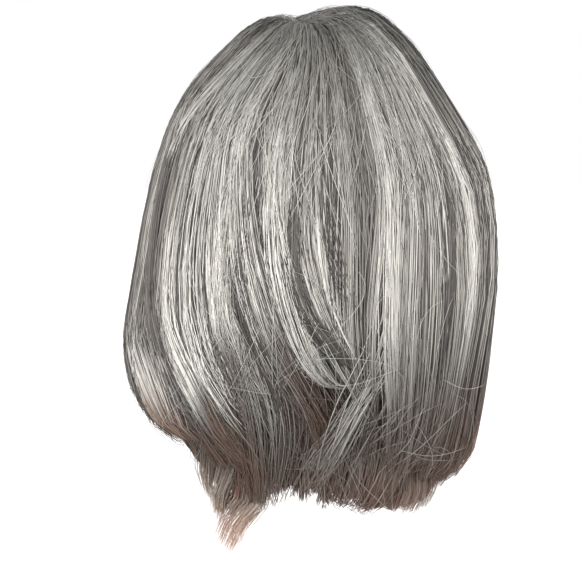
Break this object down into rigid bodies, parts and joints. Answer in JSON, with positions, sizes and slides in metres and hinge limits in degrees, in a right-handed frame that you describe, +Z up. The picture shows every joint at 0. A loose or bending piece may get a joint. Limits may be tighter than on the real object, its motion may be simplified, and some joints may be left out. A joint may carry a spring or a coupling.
{
  "type": "synthetic wig",
  "caption": "Shoulder-length silver-grey wig: a thin stretch cap with tiers of hair sewn round it in locks, worn on the head.",
  "frame": {"origin": "inside of the cap's crown, where it sits on the head", "axes": "+Z up, -Y the way the wearer's face looks, +X the wearer's left"},
  "size_m": [0.2348, 0.2119, 0.3446],
  "materials": {
    "cap_net": "fine stretch net, matt",
    "hair_silver": "silver-grey synthetic fibre, soft gloss",
    "hair_ash": "ash-grey synthetic fibre, soft gloss",
    "hair_brown": "ash fibre with brown ends, soft gloss"
  },
  "bodies": {
    "root": {"cap": "cap_net", "crown_hair": "hair_silver", "left_weft": "hair_ash", "back_weft": "hair_ash", "right_weft": "hair_ash", "left_lower_weft": "hair_brown", "nape_weft": "hair_brown", "right_lower_weft": "hair_brown"}
  },
  "joints": []
}
